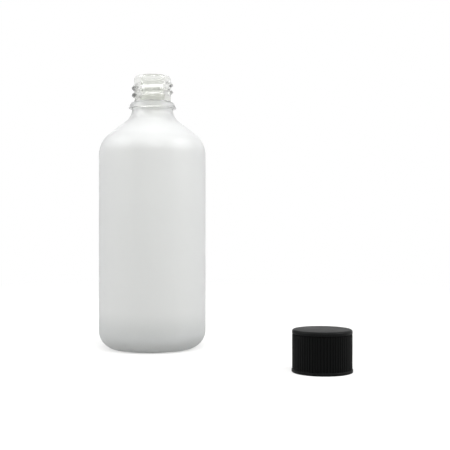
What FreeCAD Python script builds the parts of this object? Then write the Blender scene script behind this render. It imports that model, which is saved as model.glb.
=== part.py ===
import FreeCAD, Part
import math
import os

import Sketcher

# Driving sizes in millimetres, plus counts, turns and angles.
SIZES = {
    # the glass body
    "bottle_height": 116.4,
    "body_diameter": 45.5,
    "body_wall": 2.2,
    "floor_thickness": 3.0,
    "heel_radius": 7.2,
    "cavity_heel_bevel": 3.5,
    "push_up": 1.5,
    "bearing_ring": 1.2,
    "shoulder_rise": 10.85,
    "shoulder_radius": 11.2,
    "cavity_shoulder_bevel": 4.4,
    "cavity_brow_inset": 3.4,
    "cavity_brow_rise": 2.7,
    # the neck and the bead under the thread
    "neck_diameter": 17.5,
    "neck_straight": 3.45,
    "neck_flare": 6.0,
    "bore_diameter": 10.5,
    "bead_diameter": 20.4,
    "bead_brow_diameter": 19.0,
    "bead_height": 3.0,
    "bead_flank": 1.8,
    # the screw finish
    "finish_height": 14.0,
    "finish_diameter": 15.7,
    "lip_bevel": 0.9,
    "mouth_bevel": 0.5,
    "thread_diameter": 17.7,
    "thread_pitch": 3.0,
    "thread_width": 2.2,
    "thread_crest": 1.1,
    "thread_embed": 0.4,
    "thread_drop": 8.3,
    "thread_first_angle": 115.0,
    "thread_last_angle": 785.0,
    # the cap, its ribs and its inside thread
    "cap_top": 1.5,
    "cap_wall": 1.25,
    "cap_edge_bevel": 0.5,
    "cap_gap": 1.4,
    "cap_flange": 1.5,
    "rib_count": 68,
    "rib_width": 0.7,
    "rib_height": 0.45,
    "rim_height": 1.1,
    "rim_step": 0.2,
    "flange_step": 0.05,
    "relief_depth": 1.3,
    "bore_clearance": 0.25,
    "crest_clearance": 0.3,
    "bead_clearance": 0.6,
    "cap_thread_width": 1.5,
    "cap_thread_crest": 0.5,
    "cap_thread_first_angle": 150.0,
    "cap_thread_last_angle": 700.0,
    "runout_angle": 45.0,
    # the sealing disc and where the cap stands
    "liner_thickness": 1.2,
    "liner_clearance": 0.1,
    "cap_place_x": 66.0,
    "cap_place_y": -62.0,
}

# Places and radii that several features share, worked out from the driving sizes.
BODY_RADIUS = "Sizes.body_diameter / 2"
CAVITY_RADIUS = "Sizes.body_diameter / 2 - Sizes.body_wall"
NECK_RADIUS = "Sizes.neck_diameter / 2"
BORE_RADIUS = "Sizes.bore_diameter / 2"
FINISH_RADIUS = "Sizes.finish_diameter / 2"
BEAD_RADIUS = "Sizes.bead_diameter / 2"
BEAD_BROW_RADIUS = "Sizes.bead_brow_diameter / 2"
RING_RADIUS = "Sizes.body_diameter / 2 - Sizes.heel_radius - Sizes.bearing_ring"
FLOOR_TOP = "Sizes.push_up + Sizes.floor_thickness"
FINISH_BASE = "Sizes.bottle_height - Sizes.finish_height"
BEAD_BROW = FINISH_BASE + " + Sizes.bead_flank"
BEAD_TOP = FINISH_BASE + " + Sizes.bead_height"
NECK_CORNER = FINISH_BASE + " - Sizes.neck_straight"
SHOULDER_CORNER = NECK_CORNER + " - Sizes.shoulder_rise"
CAVITY_CORNER = SHOULDER_CORNER + " - Sizes.body_wall / 2"
CAVITY_BROW_RADIUS = CAVITY_RADIUS + " - Sizes.cavity_brow_inset"
CAVITY_BROW = CAVITY_CORNER + " + Sizes.cavity_brow_rise"

CAP_BORE_RADIUS = "Sizes.thread_diameter / 2 + Sizes.bore_clearance"
CAP_ROOT_RADIUS = CAP_BORE_RADIUS + " + Sizes.cap_wall"
CAP_RIB_RADIUS = CAP_ROOT_RADIUS + " + Sizes.rib_height"
CAP_RIM_RADIUS = CAP_RIB_RADIUS + " + Sizes.rim_step"
CAP_TOP_RADIUS = CAP_RIB_RADIUS + " + Sizes.flange_step"
RELIEF_RADIUS = BEAD_BROW_RADIUS + " + Sizes.bead_clearance"
LIP_SEAT = "Sizes.finish_height - Sizes.cap_gap"
CAP_CEILING = LIP_SEAT + " + Sizes.liner_thickness"
CAP_HEIGHT = CAP_CEILING + " + Sizes.cap_top"
CAP_BROW = CAP_HEIGHT + " - Sizes.cap_flange"
LINER_RADIUS = CAP_BORE_RADIUS + " - Sizes.liner_clearance"

# Threads are drawn through cross-sections this many degrees apart.
SECTION_ANGLE = 15
# Both threads' heights are given on the bottle's left, at this angle from +X.
DATUM_ANGLE = 180
# A run-out ends this share of the ridge's reach below the wall, and so inside the solid.
SINK = 0.15

doc = FreeCAD.newDocument("screw_cap_bottle")


def fill_sheet():
    sheet = doc.addObject("Spreadsheet::Sheet", "Sizes")
    for row, (alias, value) in enumerate(SIZES.items(), start=1):
        sheet.set(f"A{row}", alias)
        sheet.set(f"B{row}", str(value))
        sheet.setAlias(f"B{row}", alias)
    doc.recompute()
    return sheet


def value(expression):
    result = sizes.evalExpression(expression)
    return float(getattr(result, "Value", result))


def origin_plane(body, role):
    return next(item for item in body.Origin.OriginFeatures if item.Role == role)


def new_sketch(body, name, role):
    sketch = body.newObject("Sketcher::SketchObject", name)
    sketch.AttachmentSupport = [(origin_plane(body, role), "")]
    sketch.MapMode = "FlatFace"
    return sketch


def pin_point(sketch, line, name, across, along):
    """Ties the start of a line to two expressions, measured from the sketch's origin."""
    for kind, suffix, expression in (("DistanceX", "x", across), ("DistanceY", "y", along)):
        index = sketch.addConstraint(Sketcher.Constraint(kind, -1, 1, line, 1, value(expression)))
        sketch.renameConstraint(index, f"{name}_{suffix}")
        sketch.setExpression(f"Constraints.{name}_{suffix}", expression)


def round_corner(sketch, line, name, radius):
    """Rounds the corner where a line starts, and leaves the sharp corner as its pinned point."""
    arc = sketch.GeometryCount
    sketch.fillet(line, 1, value(radius), True, True)
    index = sketch.addConstraint(Sketcher.Constraint("Radius", arc, value(radius)))
    sketch.renameConstraint(index, f"{name}_radius")
    sketch.setExpression(f"Constraints.{name}_radius", radius)


def draw_outline(sketch, corners):
    """Draws a closed outline through named corners, rounding those that also give a radius."""
    names = list(corners)
    points = [FreeCAD.Vector(value(place[0]), value(place[1]), 0) for place in corners.values()]
    for start, end in zip(points, points[1:] + points[:1]):
        sketch.addGeometry(Part.LineSegment(start, end), False)
    for line in range(len(names)):
        after = (line + 1) % len(names)
        sketch.addConstraint(Sketcher.Constraint("Coincident", line, 2, after, 1))
    for line, name in enumerate(names):
        pin_point(sketch, line, name, *corners[name][:2])
    for line, name in enumerate(names):
        if len(corners[name]) == 3:
            round_corner(sketch, line, name, corners[name][2])


def turn_outline(body, kind, name, corners):
    """Revolves an outline in the XZ plane round the Z axis, adding or cutting."""
    sketch = new_sketch(body, name + "_outline", "XZ_Plane")
    draw_outline(sketch, corners)
    feature = body.newObject(kind, name)
    feature.Profile = sketch
    feature.ReferenceAxis = (sketch, ["V_Axis"])
    feature.Angle = 360
    sketch.Visibility = False
    doc.recompute()
    return feature


def ring_edge(shape, radius, height):
    """The name of the circular edge of that radius at that height."""
    for number, edge in enumerate(shape.Edges, start=1):
        if edge.Degenerated or not isinstance(edge.Curve, Part.Circle):
            continue
        level = math.isclose(edge.Curve.Center.z, height, abs_tol=1e-4)
        if level and math.isclose(edge.Curve.Radius, radius, abs_tol=1e-4):
            return f"Edge{number}"
    raise ValueError(f"no edge of radius {radius:.3f} at height {height:.3f}")


def bevel_ring(body, name, size, radius, height):
    """Bevels the circular edge at a radius and height."""
    base = body.Tip
    edge = ring_edge(base.Shape, value(radius), value(height))
    chamfer = body.newObject("PartDesign::Chamfer", name)
    chamfer.Base = (base, [edge])
    chamfer.setExpression("Size", size)
    doc.recompute()
    return chamfer


def ridge_section(angle, height, wall, rise, ridge):
    """One cross-section of a thread ridge, in the plane through the axis at an angle."""
    turn = math.radians(angle)

    def place(radius, lift):
        return FreeCAD.Vector(radius * math.cos(turn), radius * math.sin(turn), height + lift)

    foot = wall + ridge["embed"]
    crest = wall + rise
    foot_half, crest_half = ridge["root_width"] / 2, ridge["crest_width"] / 2
    corners = [
        place(foot, -foot_half),
        place(crest, -crest_half),
        place(crest, crest_half),
        place(foot, foot_half),
    ]
    return Part.makePolygon(corners, True)


def thread_ridge(name, ridge):
    """A helical ridge that rises out of its wall and sinks back into it over the run-out angle."""
    first, last = ridge["first_angle"], ridge["last_angle"]
    runout_angle = value("Sizes.runout_angle")
    pitch = value("Sizes.thread_pitch")
    steps = math.ceil((last - first) / SECTION_ANGLE)
    sections = []
    for step in range(steps + 1):
        angle = first + (last - first) * step / steps
        runout = min(1, (angle - first) / runout_angle, (last - angle) / runout_angle)
        share = (1 - math.cos(math.pi * runout)) / 2
        rise = ridge["reach"] * (share * (1 + SINK) - SINK)
        height = ridge["datum"] + pitch * (angle - DATUM_ANGLE) / 360
        sections.append(ridge_section(angle, height, ridge["wall"], rise, ridge))
    feature = doc.addObject("Part::Feature", name)
    feature.Shape = Part.makeLoft(sections, True, True, False)
    return feature


def join(label, *pieces):
    """Fuses solids into one piece that carries the label of its node."""
    whole = doc.addObject("Part::MultiFuse", label)
    whole.Shapes = list(pieces)
    whole.Refine = False
    whole.Label = label
    doc.recompute()
    return whole


def build_bottle():
    glass = doc.addObject("PartDesign::Body", "glass_blank")
    outside = {
        "push_up_top": ("0", "Sizes.push_up"),
        "bearing_edge": (RING_RADIUS, "0"),
        "heel": (BODY_RADIUS, "0", "Sizes.heel_radius"),
        "shoulder": (BODY_RADIUS, SHOULDER_CORNER, "Sizes.shoulder_radius"),
        "neck": (NECK_RADIUS, NECK_CORNER, "Sizes.neck_flare"),
        "bead_under": (NECK_RADIUS, FINISH_BASE),
        "bead_edge": (BEAD_RADIUS, FINISH_BASE),
        "bead_brow": (BEAD_BROW_RADIUS, BEAD_BROW),
        "bead_top": (FINISH_RADIUS, BEAD_TOP),
        "lip": (FINISH_RADIUS, "Sizes.bottle_height"),
        "lip_centre": ("0", "Sizes.bottle_height"),
    }
    turn_outline(glass, "PartDesign::Revolution", "outside", outside)
    cavity = {
        "floor_centre": ("0", FLOOR_TOP),
        "cavity_heel": (CAVITY_RADIUS, FLOOR_TOP),
        "cavity_shoulder": (CAVITY_RADIUS, CAVITY_CORNER + " - Sizes.cavity_shoulder_bevel"),
        "cavity_brow": (CAVITY_BROW_RADIUS, CAVITY_BROW),
        "bore_foot": (BORE_RADIUS, NECK_CORNER),
        "mouth": (BORE_RADIUS, "Sizes.bottle_height"),
        "mouth_centre": ("0", "Sizes.bottle_height"),
    }
    turn_outline(glass, "PartDesign::Groove", "cavity", cavity)
    bevel_ring(glass, "cavity_heel_edge", "Sizes.cavity_heel_bevel", CAVITY_RADIUS, FLOOR_TOP)
    bevel_ring(glass, "lip_edge", "Sizes.lip_bevel", FINISH_RADIUS, "Sizes.bottle_height")
    bevel_ring(glass, "mouth_edge", "Sizes.mouth_bevel", BORE_RADIUS, "Sizes.bottle_height")

    finish_radius = value(FINISH_RADIUS)
    ridge = {
        "wall": finish_radius,
        "reach": value("Sizes.thread_diameter / 2") - finish_radius,
        "embed": -value("Sizes.thread_embed"),
        "root_width": value("Sizes.thread_width"),
        "crest_width": value("Sizes.thread_crest"),
        "first_angle": value("Sizes.thread_first_angle"),
        "last_angle": value("Sizes.thread_last_angle"),
        "datum": value("Sizes.bottle_height - Sizes.thread_drop"),
    }
    thread = thread_ridge("glass_thread", ridge)
    return join("bottle", glass, thread)


def build_cap():
    shell = doc.addObject("PartDesign::Body", "cap_blank")
    outside = {
        "floor_centre": ("0", "0"),
        "rim_foot": (CAP_RIM_RADIUS, "0"),
        "rim_top": (CAP_RIM_RADIUS, "Sizes.rim_height"),
        "skirt_foot": (CAP_ROOT_RADIUS, "Sizes.rim_height"),
        "skirt_top": (CAP_ROOT_RADIUS, CAP_BROW),
        "flange_foot": (CAP_TOP_RADIUS, CAP_BROW),
        "flange_top": (CAP_TOP_RADIUS, CAP_HEIGHT),
        "top_centre": ("0", CAP_HEIGHT),
    }
    turn_outline(shell, "PartDesign::Revolution", "skirt", outside)
    bevel_ring(shell, "top_edge", "Sizes.cap_edge_bevel", CAP_TOP_RADIUS, CAP_HEIGHT)
    hollow = {
        "mouth_centre": ("0", "0"),
        "relief_foot": (RELIEF_RADIUS, "0"),
        "relief_top": (CAP_BORE_RADIUS, "Sizes.relief_depth"),
        "ceiling": (CAP_BORE_RADIUS, CAP_CEILING),
        "ceiling_centre": ("0", CAP_CEILING),
    }
    turn_outline(shell, "PartDesign::Groove", "hollow", hollow)
    add_ribs(shell)

    bore = value(CAP_BORE_RADIUS)
    ridge = {
        "wall": bore,
        "reach": value(FINISH_RADIUS + " + Sizes.crest_clearance") - bore,
        "embed": value("Sizes.thread_embed"),
        "root_width": value("Sizes.cap_thread_width"),
        "crest_width": value("Sizes.cap_thread_crest"),
        "first_angle": value("Sizes.cap_thread_first_angle"),
        "last_angle": value("Sizes.cap_thread_last_angle"),
        "datum": value(LIP_SEAT + " - Sizes.thread_drop - Sizes.thread_pitch / 2"),
    }
    thread = thread_ridge("cap_thread", ridge)
    return join("cap", shell, thread)


def add_ribs(shell):
    """One grip rib between the rim and the top's flange, copied round the skirt."""
    sketch = new_sketch(shell, "rib_outline", "XY_Plane")
    sketch.setExpression(".AttachmentOffset.Base.z", "Sizes.rim_height")
    foot = CAP_ROOT_RADIUS + " - Sizes.cap_wall / 4"
    rib = {
        "foot_low": (foot, "-Sizes.rib_width / 2"),
        "crest": (CAP_RIB_RADIUS, "0"),
        "foot_high": (foot, "Sizes.rib_width / 2"),
    }
    draw_outline(sketch, rib)
    pad = shell.newObject("PartDesign::Pad", "rib")
    pad.Profile = sketch
    pad.setExpression("Length", f"{CAP_BROW} - Sizes.rim_height")
    sketch.Visibility = False
    doc.recompute()
    ribs = shell.newObject("PartDesign::PolarPattern", "ribs")
    ribs.Originals = [pad]
    ribs.Axis = (sketch, ["N_Axis"])
    ribs.Angle = 360
    ribs.setExpression("Occurrences", "Sizes.rib_count")
    shell.Tip = ribs
    doc.recompute()
    return ribs


def build_liner():
    """The sealing disc, flat against the inside of the cap's top."""
    disc = doc.addObject("PartDesign::Body", "cap_liner")
    sketch = new_sketch(disc, "disc_outline", "XY_Plane")
    sketch.setExpression(".AttachmentOffset.Base.z", LIP_SEAT)
    centre = FreeCAD.Vector(0, 0, 0)
    circle = Part.Circle(centre, FreeCAD.Vector(0, 0, 1), value(LINER_RADIUS))
    sketch.addGeometry(circle, False)
    sketch.addConstraint(Sketcher.Constraint("Coincident", 0, 3, -1, 1))
    index = sketch.addConstraint(Sketcher.Constraint("Radius", 0, value(LINER_RADIUS)))
    sketch.renameConstraint(index, "disc_radius")
    sketch.setExpression("Constraints.disc_radius", LINER_RADIUS)
    pad = disc.newObject("PartDesign::Pad", "disc")
    pad.Profile = sketch
    pad.setExpression("Length", "Sizes.liner_thickness")
    sketch.Visibility = False
    doc.recompute()
    return disc


def stand_beside(piece):
    """Puts a piece of the cap where the cap stands, mouth down, beside the bottle."""
    piece.setExpression(".Placement.Base.x", "Sizes.cap_place_x")
    piece.setExpression(".Placement.Base.y", "Sizes.cap_place_y")
    doc.recompute()


def check_solids(pieces):
    """Stops unless every object is sound and every piece is one valid solid."""
    for item in doc.Objects:
        if "Invalid" in item.State or "Error" in item.State:
            raise RuntimeError(f"{item.Label} failed: {item.State}")
    for piece in pieces:
        shape = piece.Shape
        if shape.isNull() or not shape.isValid() or len(shape.Solids) != 1:
            raise RuntimeError(f"{piece.Label} is not one valid solid")


sizes = fill_sheet()
bottle = build_bottle()
cap = build_cap()
cap_liner = build_liner()
for piece in (cap, cap_liner):
    stand_beside(piece)

check_solids([bottle, cap, cap_liner])
os.makedirs("parts", exist_ok=True)
for piece in (bottle, cap, cap_liner):
    piece.Shape.exportStep(f"parts/{piece.Label}.step")
    print(piece.Label, f"{piece.Shape.Volume:.1f} mm3")
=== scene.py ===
import math

import bpy
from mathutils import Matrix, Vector


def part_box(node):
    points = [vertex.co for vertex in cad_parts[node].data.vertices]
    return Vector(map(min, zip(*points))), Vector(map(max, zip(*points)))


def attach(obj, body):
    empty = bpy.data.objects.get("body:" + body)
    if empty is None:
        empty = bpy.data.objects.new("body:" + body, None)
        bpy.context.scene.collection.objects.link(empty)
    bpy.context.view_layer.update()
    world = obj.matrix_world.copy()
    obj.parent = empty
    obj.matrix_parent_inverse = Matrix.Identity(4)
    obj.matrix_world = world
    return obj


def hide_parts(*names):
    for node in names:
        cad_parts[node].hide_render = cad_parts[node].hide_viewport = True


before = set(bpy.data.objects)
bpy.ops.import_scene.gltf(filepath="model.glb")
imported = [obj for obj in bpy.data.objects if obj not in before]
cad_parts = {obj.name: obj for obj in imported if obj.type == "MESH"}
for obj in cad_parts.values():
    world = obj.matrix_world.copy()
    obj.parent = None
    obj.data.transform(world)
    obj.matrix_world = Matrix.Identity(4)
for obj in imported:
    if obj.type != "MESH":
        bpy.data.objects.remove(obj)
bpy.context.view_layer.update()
millimetre = 0.001
wallReach = 0.01  # millimetres from a wall's radius that still count as on the wall
weldReach = 0.002  # millimetres between points that become one
noiseLow, noiseHigh = 0.3, 0.7  # a noise pattern lies mostly between these


def linear(hexColour):
    # sRGB hex to the linear colour that a shader socket takes
    steps = [int(hexColour[place:place + 2], 16) / 255 for place in (0, 2, 4)]
    rgb = [s / 12.92 if s <= 0.04045 else ((s + 0.055) / 1.055) ** 2.4 for s in steps]
    return (*rgb, 1.0)


def addNode(tree, kind, inputs=None, **settings):
    # a socket among the inputs is linked, anything else is set
    made = tree.nodes.new(kind)
    for name, setting in settings.items():
        setattr(made, name, setting)
    for name, given in (inputs or {}).items():
        if isinstance(given, bpy.types.NodeSocket):
            tree.links.new(given, made.inputs[name])
        else:
            made.inputs[name].default_value = given
    return made


def newMaterial(name):
    material = bpy.data.materials.new(name)
    material.use_nodes = True
    material.node_tree.nodes.clear()
    return material, material.node_tree


def selectOnly(piece):
    bpy.ops.object.select_all(action="DESELECT")
    piece.select_set(True)
    bpy.context.view_layer.objects.active = piece


def smoothstep(share):
    share = min(1, max(0, share))
    return share * share * (3 - 2 * share)


def roundedOutline(corners, arcStep):
    # corners are (radius, height, rounding) in millimetres, joined by straight runs and arcs
    places = [Vector((r, 0, z)) for r, z, rounding in corners]
    points = [places[0]]
    for i in range(1, len(corners) - 1):
        rounding = corners[i][2]
        if rounding == 0:
            points.append(places[i])
            continue
        back = (places[i - 1] - places[i]).normalized()
        onward = (places[i + 1] - places[i]).normalized()
        half = back.angle(onward) / 2
        centre = places[i] + (back + onward).normalized() * rounding / math.sin(half)
        first = (places[i] + back * rounding / math.tan(half) - centre).normalized()
        last = (places[i] + onward * rounding / math.tan(half) - centre).normalized()
        steps = max(2, math.ceil((math.pi - 2 * half) / math.radians(arcStep)))
        points += [centre + first.slerp(last, n / steps) * rounding for n in range(steps + 1)]
    return points + [places[-1]]


def withRings(points, radius, spacing):
    # puts extra points on the upright wall at one radius, for the thread raised there later
    dense = [points[0]]
    for start, end in zip(points, points[1:]):
        onWall = abs(start.x - radius) < wallReach and abs(end.x - radius) < wallReach
        count = math.ceil((end - start).length / spacing) if onWall else 1
        dense += [start.lerp(end, n / count) for n in range(1, count + 1)]
    return dense


def turnOnLathe(name, outline, centre, steps):
    # one vertex is extruded along the outline, then spun round the upright axis
    bpy.ops.object.select_all(action="DESELECT")
    bpy.ops.mesh.primitive_plane_add(size=millimetre, location=(0, 0, 0))
    piece = bpy.context.object
    piece.name = piece.data.name = name
    bpy.ops.object.mode_set(mode="EDIT")
    bpy.ops.mesh.select_mode(type="VERT")
    bpy.ops.mesh.select_all(action="SELECT")
    bpy.ops.mesh.merge(type="CENTER")
    bpy.ops.transform.translate(value=centre + outline[0] * millimetre)
    for start, end in zip(outline, outline[1:]):
        move = {"value": (end - start) * millimetre}
        bpy.ops.mesh.extrude_region_move(TRANSFORM_OT_translate=move)
    bpy.ops.mesh.select_all(action="SELECT")
    bpy.ops.mesh.spin(steps=steps, angle=2 * math.pi, center=centre, axis=(0, 0, 1))
    bpy.ops.mesh.select_all(action="SELECT")
    bpy.ops.mesh.remove_doubles(threshold=weldReach * millimetre)
    bpy.ops.mesh.normals_make_consistent(inside=False)
    bpy.ops.object.mode_set(mode="OBJECT")
    return piece


def raiseRidge(piece, name, height, weightOf):
    # paints a vertex group with weightOf and pushes it out along the normals
    group = piece.vertex_groups.new(name=name)
    for vertex in piece.data.vertices:
        weight = weightOf(vertex.co)
        if weight > 0:
            group.add([vertex.index], weight, "REPLACE")
    selectOnly(piece)
    push = piece.modifiers.new(name, "DISPLACE")
    push.vertex_group = name
    push.direction = "NORMAL"
    push.mid_level = 0
    push.strength = height * millimetre
    bpy.ops.object.modifier_apply(modifier=push.name)


def aroundAxis(place, centre=Vector((0, 0, 0))):
    # radius in millimetres, turn in degrees from +X, height in millimetres
    across = place - centre
    turn = math.degrees(math.atan2(across.y, across.x)) % 360
    return math.hypot(across.x, across.y) / millimetre, turn, place.z / millimetre


def smoothShade(piece, degrees):
    selectOnly(piece)
    bpy.ops.object.shade_smooth_by_angle(angle=math.radians(degrees))


def threadWeight(thread, turn, height):
    # how far a point stands up the ridge: turn in degrees from +X, height in millimetres
    weight = 0
    for lap in range(math.ceil(thread["lastAngle"] / 360)):
        angle = turn + 360 * lap
        if not thread["firstAngle"] <= angle <= thread["lastAngle"]:
            continue
        middle = thread["datum"] + thread["pitch"] * (angle - thread["datumAngle"]) / 360
        away = abs(height - middle)
        flank = (away - thread["crestHalf"]) / (thread["rootHalf"] - thread["crestHalf"])
        runOut = min(angle - thread["firstAngle"], thread["lastAngle"] - angle)
        share = smoothstep(runOut / thread["runOutAngle"]) * (1 - smoothstep(flank))
        weight = max(weight, share)
    return weight


def satinEtchedGlass():
    # soda-lime glass dipped in acid: white haze with a soft sheen, cloudy depth, no clear view
    look = {
        # sizes, depths and heights in millimetres
        "glass": "EDEEEE", "ior": 1.52, "roughness": 0.5, "unevenness": 0.05,
        "cloudSize": 14.0, "pitSize": 0.25, "pitDepth": 0.01, "pitStrength": 0.35, "pitDetail": 1.0,
        "bodyClarity": 0.5, "neckClarity": 0.96, "fadeFrom": 93.0, "fadeTo": 104.0,
        # the heel's greyer colour is painted shade
        "heelShadeGlass": "DADCDC", "heelShadeHeight": 7.0, "heelShadeReach": 11.0,
    }
    material, tree = newMaterial("satin_etched_soda_lime_glass")
    place = addNode(tree, "ShaderNodeTexCoord").outputs["Object"]
    # drifts of a heavier and a lighter etch, some 14 mm across
    cloud = addNode(tree, "ShaderNodeTexNoise", {
        "Vector": place, "Scale": 1 / (look["cloudSize"] * millimetre)})
    haze = addNode(tree, "ShaderNodeMapRange", {
        "Value": cloud.outputs["Fac"], "From Min": noiseLow, "From Max": noiseHigh,
        "To Min": look["roughness"] - look["unevenness"],
        "To Max": look["roughness"] + look["unevenness"]})
    # etch pits are some 0.03 mm wide, drawn about eight times as coarse so that they show
    pits = addNode(tree, "ShaderNodeTexNoise", {
        "Vector": place, "Scale": 1 / (look["pitSize"] * millimetre),
        "Detail": look["pitDetail"]})
    bump = addNode(tree, "ShaderNodeBump", {
        "Strength": look["pitStrength"], "Distance": look["pitDepth"] * millimetre,
        "Height": pits.outputs["Fac"]})
    # the etch is lighter on the neck, near the line that the bottle was dipped to
    height = addNode(tree, "ShaderNodeSeparateXYZ", {"Vector": place})
    clarity = addNode(tree, "ShaderNodeMapRange", {
        "Value": height.outputs["Z"], "From Min": look["fadeFrom"] * millimetre,
        "From Max": look["fadeTo"] * millimetre, "To Min": look["bodyClarity"],
        "To Max": look["neckClarity"]}, interpolation_type="SMOOTHSTEP")
    # painted shade: a greyer ring low down, where the wall runs into the thick floor, standing in
    # for the shade on the heel that turns down to the floor
    fromHeel = addNode(tree, "ShaderNodeMath", {
        0: height.outputs["Z"], 1: look["heelShadeHeight"] * millimetre}, operation="SUBTRACT")
    away = addNode(tree, "ShaderNodeMath", {0: fromHeel.outputs[0]}, operation="ABSOLUTE")
    shadeAtHeel = addNode(tree, "ShaderNodeMapRange", {
        "Value": away.outputs[0], "From Max": look["heelShadeReach"] * millimetre,
        "To Min": 1.0, "To Max": 0.0}, interpolation_type="SMOOTHSTEP")
    colour = addNode(tree, "ShaderNodeMix", {
        0: shadeAtHeel.outputs["Result"], 6: linear(look["glass"]), 7: linear(look["heelShadeGlass"])},
        data_type="RGBA")
    shader = addNode(tree, "ShaderNodeBsdfPrincipled", {
        "Base Color": colour.outputs[2], "Roughness": haze.outputs["Result"],
        "IOR": look["ior"], "Transmission Weight": clarity.outputs["Result"],
        "Normal": bump.outputs["Normal"]})
    addNode(tree, "ShaderNodeOutputMaterial", {"Surface": shader.outputs["BSDF"]})
    return material


def clearSodaLimeGlass():
    # blown soda-lime glass left clear: soft glints, slow ripples, a faint green to the bead
    look = {
        # sizes, depths and heights in millimetres
        # the lip's paler colour is painted light
        "glass": "DDDED9", "lipPaintedLight": "EEEFEC", "fadeFrom": 106.5, "fadeTo": 113.5,
        "ior": 1.52, "roughness": 0.05,
        "rippleSize": 4.0, "rippleDepth": 0.06, "rippleStrength": 0.5, "rippleDetail": 1.0,
    }
    material, tree = newMaterial("clear_blown_soda_lime_glass")
    place = addNode(tree, "ShaderNodeTexCoord").outputs["Object"]
    ripple = addNode(tree, "ShaderNodeTexNoise", {
        "Vector": place, "Scale": 1 / (look["rippleSize"] * millimetre),
        "Detail": look["rippleDetail"]})
    bump = addNode(tree, "ShaderNodeBump", {
        "Strength": look["rippleStrength"], "Distance": look["rippleDepth"] * millimetre,
        "Height": ripple.outputs["Fac"]})
    # painted light: the lip's colour is drawn paler than the thread under it, standing in for the
    # white it gathers from all round
    height = addNode(tree, "ShaderNodeSeparateXYZ", {"Vector": place})
    lipLightShare = addNode(tree, "ShaderNodeMapRange", {
        "Value": height.outputs["Z"], "From Min": look["fadeFrom"] * millimetre,
        "From Max": look["fadeTo"] * millimetre}, interpolation_type="SMOOTHSTEP")
    colour = addNode(tree, "ShaderNodeMix", {
        0: lipLightShare.outputs["Result"], 6: linear(look["glass"]), 7: linear(look["lipPaintedLight"])},
        data_type="RGBA")
    shader = addNode(tree, "ShaderNodeBsdfPrincipled", {
        "Base Color": colour.outputs[2], "Roughness": look["roughness"], "IOR": look["ior"],
        "Transmission Weight": 1.0, "Normal": bump.outputs["Normal"]})
    addNode(tree, "ShaderNodeOutputMaterial", {"Surface": shader.outputs["BSDF"]})
    return material


def mouldedPolypropylene():
    # black polypropylene moulded in a spark-eroded tool: satin black, soft broad highlights
    look = {
        # sizes and depths in millimetres
        "plastic": "030404", "ior": 1.49, "specular": 0.09, "roughness": 0.48,
        "grainSize": 0.18, "grainDepth": 0.02, "grainStrength": 0.3,
        "wearSize": 5.0, "unevenness": 0.04,
    }
    material, tree = newMaterial("moulded_black_polypropylene")
    place = addNode(tree, "ShaderNodeTexCoord").outputs["Object"]
    # the tool's grain is near 0.05 mm, drawn over three times as coarse so that it shows
    grain = addNode(tree, "ShaderNodeTexNoise", {
        "Vector": place, "Scale": 1 / (look["grainSize"] * millimetre)})
    bump = addNode(tree, "ShaderNodeBump", {
        "Strength": look["grainStrength"], "Distance": look["grainDepth"] * millimetre,
        "Height": grain.outputs["Fac"]})
    wear = addNode(tree, "ShaderNodeTexNoise", {
        "Vector": place, "Scale": 1 / (look["wearSize"] * millimetre)})
    polish = addNode(tree, "ShaderNodeMapRange", {
        "Value": wear.outputs["Fac"], "From Min": noiseLow, "From Max": noiseHigh,
        "To Min": look["roughness"] - look["unevenness"],
        "To Max": look["roughness"] + look["unevenness"]})
    shader = addNode(tree, "ShaderNodeBsdfPrincipled", {
        "Base Color": linear(look["plastic"]), "Roughness": polish.outputs["Result"],
        "IOR": look["ior"], "Specular IOR Level": look["specular"],
        "Normal": bump.outputs["Normal"]})
    addNode(tree, "ShaderNodeOutputMaterial", {"Surface": shader.outputs["BSDF"]})
    return material


def expandedPolyethylene():
    # the liner is cut from expanded polyethylene sheet: matt off-white, fine closed cells
    look = {
        # sizes and depths in millimetres
        "foam": "E4E2DA", "ior": 1.5, "roughness": 0.62,
        "cellSize": 0.3, "cellDepth": 0.03, "cellStrength": 0.4,
    }
    material, tree = newMaterial("expanded_polyethylene_sheet")
    place = addNode(tree, "ShaderNodeTexCoord").outputs["Object"]
    cells = addNode(tree, "ShaderNodeTexVoronoi", {
        "Vector": place, "Scale": 1 / (look["cellSize"] * millimetre)})
    bump = addNode(tree, "ShaderNodeBump", {
        "Strength": look["cellStrength"], "Distance": look["cellDepth"] * millimetre,
        "Height": cells.outputs["Distance"]})
    shader = addNode(tree, "ShaderNodeBsdfPrincipled", {
        "Base Color": linear(look["foam"]), "Roughness": look["roughness"],
        "IOR": look["ior"], "Normal": bump.outputs["Normal"]})
    addNode(tree, "ShaderNodeOutputMaterial", {"Surface": shader.outputs["BSDF"]})
    return material


bottleSizes = {
    # millimetres and degrees; the body's radius and the height come from the frame
    "wall": 2.2, "floorTop": 4.5, "pushUp": 1.5,
    "bearingRadius": 14.35, "bearingRounding": 1.5, "heelRounding": 7.7,
    "shoulderDrop": 28.3, "shoulderRounding": 11.2,
    "neckDrop": 17.45, "neckRadius": 8.75, "neckFlare": 6.0,
    "beadDrop": 14.0, "beadHeight": 3.0, "beadRadius": 10.2,
    "beadFootRounding": 0.3, "beadEdgeRounding": 0.25, "beadTopRounding": 0.4,
    "beadBrow": 2.2, "beadBrowRadius": 9.35, "beadBrowRounding": 0.45,
    "finishRadius": 7.85, "lipRounding": 1.35,
    "boreRadius": 5.25, "mouthRounding": 1.2, "boreFlare": 7.0,
    "threadRise": 1.0, "threadReach": 0.5, "ringSpacing": 0.2,
    "baseReach": 0.5, "arcStep": 7, "shadeAngle": 38, "steps": 256,
}
neckThread = {
    "firstAngle": 115, "lastAngle": 785, "runOutAngle": 45, "pitch": 3.0,
    "rootHalf": 1.4, "crestHalf": 0.05, "datum": 108.1, "datumAngle": 180,
}


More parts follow.
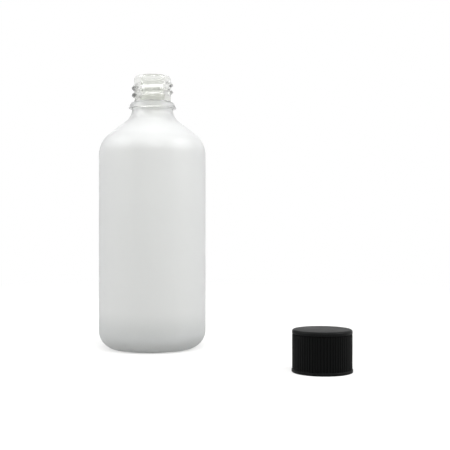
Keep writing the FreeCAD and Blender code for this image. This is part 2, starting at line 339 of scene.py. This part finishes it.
def makeBottle():
    s = bottleSizes
    low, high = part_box("bottle")
    bodyRadius = (high.x - low.x) / 2 / millimetre
    top = high.z / millimetre
    cavityRadius = bodyRadius - s["wall"]
    shoulder, neck, bead = top - s["shoulderDrop"], top - s["neckDrop"], top - s["beadDrop"]
    section = [
        # the outside, from the base up to the lip
        (0, s["pushUp"], 0),
        (s["bearingRadius"], 0, s["bearingRounding"]),
        (bodyRadius, 0, s["heelRounding"]),
        (bodyRadius, shoulder, s["shoulderRounding"]),
        (s["neckRadius"], neck, s["neckFlare"]),
        (s["neckRadius"], bead, s["beadFootRounding"]),
        (s["beadRadius"], bead, s["beadEdgeRounding"]),
        (s["beadBrowRadius"], bead + s["beadBrow"], s["beadBrowRounding"]),
        (s["finishRadius"], bead + s["beadHeight"], s["beadTopRounding"]),
        (s["finishRadius"], top, s["lipRounding"]),
        # the mouth, the bore and the cavity, down to the floor
        (s["boreRadius"], top, s["mouthRounding"]),
        (s["boreRadius"], neck, s["boreFlare"]),
        (cavityRadius, shoulder - s["wall"] / 2, s["shoulderRounding"] - s["wall"]),
        (cavityRadius, s["floorTop"], s["heelRounding"] - s["wall"]),
        (0, s["floorTop"], 0),
    ]
    outline = roundedOutline(section, s["arcStep"])
    outline = withRings(outline, s["finishRadius"], s["ringSpacing"])
    bottle = turnOnLathe("bottle_glass", outline, Vector((0, 0, 0)), s["steps"])

    def onFinish(place):
        radius, turn, height = aroundAxis(place)
        if radius < s["finishRadius"] - s["threadReach"] or height < bead + s["beadHeight"]:
            return 0
        return threadWeight(neckThread, turn, height)

    raiseRidge(bottle, "glass_thread", s["threadRise"], onFinish)

    # the acid took the outside up to the bead's top, and the base; the rest stays clear
    bottle.data.materials.append(clearSodaLimeGlass())
    bottle.data.materials.append(satinEtchedGlass())
    frostTop = (bead + s["beadHeight"]) * millimetre
    baseTop = (s["floorTop"] - s["baseReach"]) * millimetre
    for face in bottle.data.polygons:
        outward = face.normal.x * face.center.x + face.normal.y * face.center.y
        etched = outward > 0 or face.center.z < baseTop
        face.material_index = int(face.center.z < frostTop and etched)
    smoothShade(bottle, s["shadeAngle"])
    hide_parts("bottle")
    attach(bottle, "bottle")
    print("bottle", len(bottle.data.polygons), "faces")


capSizes = {
    # millimetres and degrees; height, rim radius and place come from the frame
    "topRadius": 10.85, "edgeRounding": 0.8, "rootRadius": 10.35,
    "ribCount": 68, "ribHeight": 0.45, "ribFoot": 1.1, "ribTop": 13.8, "ribTopRounding": 0.15,
    "ribEnd": 0.35, "ribSteps": 8, "ribWaveFrom": 0.35, "ribWaveRise": 0.5,
    "rimTopRounding": 0.2, "rimFootRounding": 0.25,
    "reliefRadius": 10.1, "reliefTop": 1.3, "reliefRounding": 0.2,
    "boreRadius": 9.1, "boreRounding": 0.3, "boreDraft": 0.03, "ceiling": 13.8,
    "threadRise": 0.95, "threadTop": 8.3, "ringSpacing": 0.22,
    "arcStep": 15, "shadeAngle": 35,
}
capThread = {
    "firstAngle": 150, "lastAngle": 700, "runOutAngle": 45, "pitch": 3.0,
    "rootHalf": 0.85, "crestHalf": 0.15, "datum": 2.8, "datumAngle": 180,
}


def makeCap():
    s = capSizes
    low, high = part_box("cap")
    centre = Vector(((low.x + high.x) / 2, (low.y + high.y) / 2, 0))
    rimRadius = (high.x - low.x) / 2 / millimetre
    top = high.z / millimetre
    section = [
        # the outside, from the top down to the rim
        (0, top, 0),
        (s["topRadius"], top, s["edgeRounding"]),
        (s["topRadius"], s["ribTop"], s["ribTopRounding"]),
        (s["rootRadius"], s["ribTop"], 0),
        (s["rootRadius"], s["ribTop"] - s["ribEnd"], 0),
        (s["rootRadius"], s["ribFoot"] + s["ribEnd"], 0),
        (s["rootRadius"], s["ribFoot"], 0),
        (rimRadius, s["ribFoot"], s["rimTopRounding"]),
        (rimRadius, 0, s["rimFootRounding"]),
        # the relief for the bead, the bore and the ceiling
        (s["reliefRadius"], 0, s["reliefRounding"]),
        (s["boreRadius"], s["reliefTop"], s["boreRounding"]),
        (s["boreRadius"], s["threadTop"], 0),
        (s["boreRadius"] - s["boreDraft"], s["ceiling"], 0),
        (0, s["ceiling"], 0),
    ]
    outline = roundedOutline(section, s["arcStep"])
    outline = withRings(outline, s["boreRadius"], s["ringSpacing"])
    cap = turnOnLathe("cap_shell", outline, centre, s["ribCount"] * s["ribSteps"])

    def onSkirt(place):
        radius, turn, height = aroundAxis(place, centre)
        if abs(radius - s["rootRadius"]) > wallReach or not s["ribFoot"] < height < s["ribTop"]:
            return 0
        wave = (1 + math.cos(math.radians(turn) * s["ribCount"])) / 2
        return smoothstep((wave - s["ribWaveFrom"]) / s["ribWaveRise"])

    def onBore(place):
        radius, turn, height = aroundAxis(place, centre)
        if abs(radius - s["boreRadius"]) >= wallReach:
            return 0
        return threadWeight(capThread, turn, height)

    raiseRidge(cap, "grip_ribs", s["ribHeight"], onSkirt)
    raiseRidge(cap, "cap_thread", s["threadRise"], onBore)
    cap.data.materials.append(mouldedPolypropylene())
    smoothShade(cap, s["shadeAngle"])
    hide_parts("cap")
    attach(cap, "cap")
    print("cap", len(cap.data.polygons), "faces")


def finishLiner():
    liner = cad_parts["cap_liner"]
    liner.data.materials.clear()
    liner.data.materials.append(expandedPolyethylene())
    print("liner finished")


studio = {
    # metres; a level of 1 is white
    "floorSize": 6.0, "floorSides": 96, "floorColour": "B4B4B3",
    "lift": 0.5, "whiteFrom": 0.12, "whiteTo": 0.45,
    "fillLevel": 0.27, "ceilingLevel": 0.7, "ceilingFrom": 0.45, "ceilingTo": 0.85,
    "lampAim": (0.02, -0.01, 0.06),
}
softboxes = {
    # sizes and places in metres, power in watts
    "key_softbox": {"size": 0.6, "power": 6.0, "place": (0.1, -0.75, 0.82)},
    "overhead_softbox": {"size": 0.6, "power": 0.8, "place": (0, 0.05, 0.9)},
    "left_softbox": {"size": 0.6, "power": 7.2, "place": (-0.75, -0.2, 0.7)},
    "right_softbox": {"size": 0.6, "power": 8.6, "place": (0.8, -0.2, 0.7)},
    "back_softbox": {"size": 1.2, "power": 1.4, "place": (0, 0.6, 0.95)},
}
view = {
    # millimetres; the camera stands level, 380 in front of the bottle's axis
    "across": 31.1, "away": 380.0, "height": 52.65,
    "lens": 70.86, "sensor": 36.0, "clipFrom": 10.0,
}


def seenDirectly(tree):
    # 1 for what the camera sees straight, mirrored or through glass
    path = addNode(tree, "ShaderNodeLightPath")
    some = addNode(tree, "ShaderNodeMath", {
        0: path.outputs["Is Camera Ray"], 1: path.outputs["Is Glossy Ray"]},
        operation="MAXIMUM")
    seen = addNode(tree, "ShaderNodeMath", {
        0: some.outputs[0], 1: path.outputs["Is Transmission Ray"]}, operation="MAXIMUM")
    return seen.outputs[0]


def makeFloor():
    bpy.ops.object.select_all(action="DESELECT")
    bpy.ops.mesh.primitive_circle_add(
        vertices=studio["floorSides"], radius=studio["floorSize"], fill_type="NGON",
        location=(0, 0, 0))
    floor = bpy.context.object
    floor.name = "studio_floor"
    # paper that takes the shadows near the object and is plain white further out
    material, tree = newMaterial("white_sweep_paper")
    place = addNode(tree, "ShaderNodeTexCoord").outputs["Object"]
    away = addNode(tree, "ShaderNodeVectorMath", {0: place}, operation="LENGTH")
    far = addNode(tree, "ShaderNodeMapRange", {
        "Value": away.outputs["Value"], "From Min": studio["whiteFrom"],
        "From Max": studio["whiteTo"]}, interpolation_type="SMOOTHSTEP")
    seen = seenDirectly(tree)
    paper = addNode(tree, "ShaderNodeBsdfDiffuse", {"Color": linear(studio["floorColour"])})
    glow = addNode(tree, "ShaderNodeMath", {0: seen, 1: studio["lift"]}, operation="MULTIPLY")
    lift = addNode(tree, "ShaderNodeEmission", {"Strength": glow.outputs[0]})
    near = addNode(tree, "ShaderNodeAddShader", {0: paper.outputs[0], 1: lift.outputs[0]})
    white = addNode(tree, "ShaderNodeEmission", {"Strength": 1.0})
    share = addNode(tree, "ShaderNodeMath", {
        0: seen, 1: far.outputs["Result"]}, operation="MULTIPLY")
    mix = addNode(tree, "ShaderNodeMixShader", {
        0: share.outputs[0], 1: near.outputs[0], 2: white.outputs[0]})
    addNode(tree, "ShaderNodeOutputMaterial", {"Surface": mix.outputs[0]})
    floor.data.materials.append(material)
    print("floor laid")


def makeWorld():
    world = bpy.data.worlds.new("white_studio")
    bpy.context.scene.world = world
    world.use_nodes = True
    tree = world.node_tree
    tree.nodes.clear()
    # the backdrop is white, and the darker ceiling over it shows only in glass and gloss
    toward = addNode(tree, "ShaderNodeTexCoord").outputs["Generated"]
    rise = addNode(tree, "ShaderNodeSeparateXYZ", {"Vector": toward})
    ceiling = addNode(tree, "ShaderNodeMapRange", {
        "Value": rise.outputs["Z"], "From Min": studio["ceilingFrom"],
        "From Max": studio["ceilingTo"], "To Min": 1.0, "To Max": studio["ceilingLevel"]},
        interpolation_type="SMOOTHSTEP")
    path = addNode(tree, "ShaderNodeLightPath")
    backdrop = addNode(tree, "ShaderNodeMath", {
        0: ceiling.outputs["Result"], 1: path.outputs["Is Camera Ray"]}, operation="MAXIMUM")
    level = addNode(tree, "ShaderNodeMapRange", {
        "Value": seenDirectly(tree), "To Min": studio["fillLevel"],
        "To Max": backdrop.outputs[0]})
    light = addNode(tree, "ShaderNodeBackground", {
        "Color": (1, 1, 1, 1), "Strength": level.outputs["Result"]})
    addNode(tree, "ShaderNodeOutputWorld", {"Surface": light.outputs[0]})
    print("backdrop hung")


def makeLights():
    for name, softbox in softboxes.items():
        bpy.ops.object.select_all(action="DESELECT")
        bpy.ops.object.light_add(type="AREA", location=softbox["place"])
        lamp = bpy.context.object
        lamp.name = name
        lamp.data.shape = "DISK"
        lamp.data.size = softbox["size"]
        lamp.data.energy = softbox["power"]
        lamp.visible_camera = False
        toward = Vector(studio["lampAim"]) - Vector(softbox["place"])
        lamp.rotation_euler = toward.to_track_quat("-Z", "Y").to_euler()
    print("lights placed")


def makeCamera():
    across, away, height = (view[name] * millimetre for name in ("across", "away", "height"))
    bpy.ops.object.camera_add(
        location=(across, -away, height), rotation=(math.radians(90), 0, 0))
    camera = bpy.context.object
    camera.name = "camera"
    camera.data.lens = view["lens"]
    camera.data.sensor_width = view["sensor"]
    camera.data.clip_start = view["clipFrom"] * millimetre
    bpy.context.scene.camera = camera
    print("camera placed")


makeBottle()
makeCap()
finishLiner()
makeFloor()
makeWorld()
makeLights()
makeCamera()
bpy.context.scene.view_settings.view_transform = "Standard"
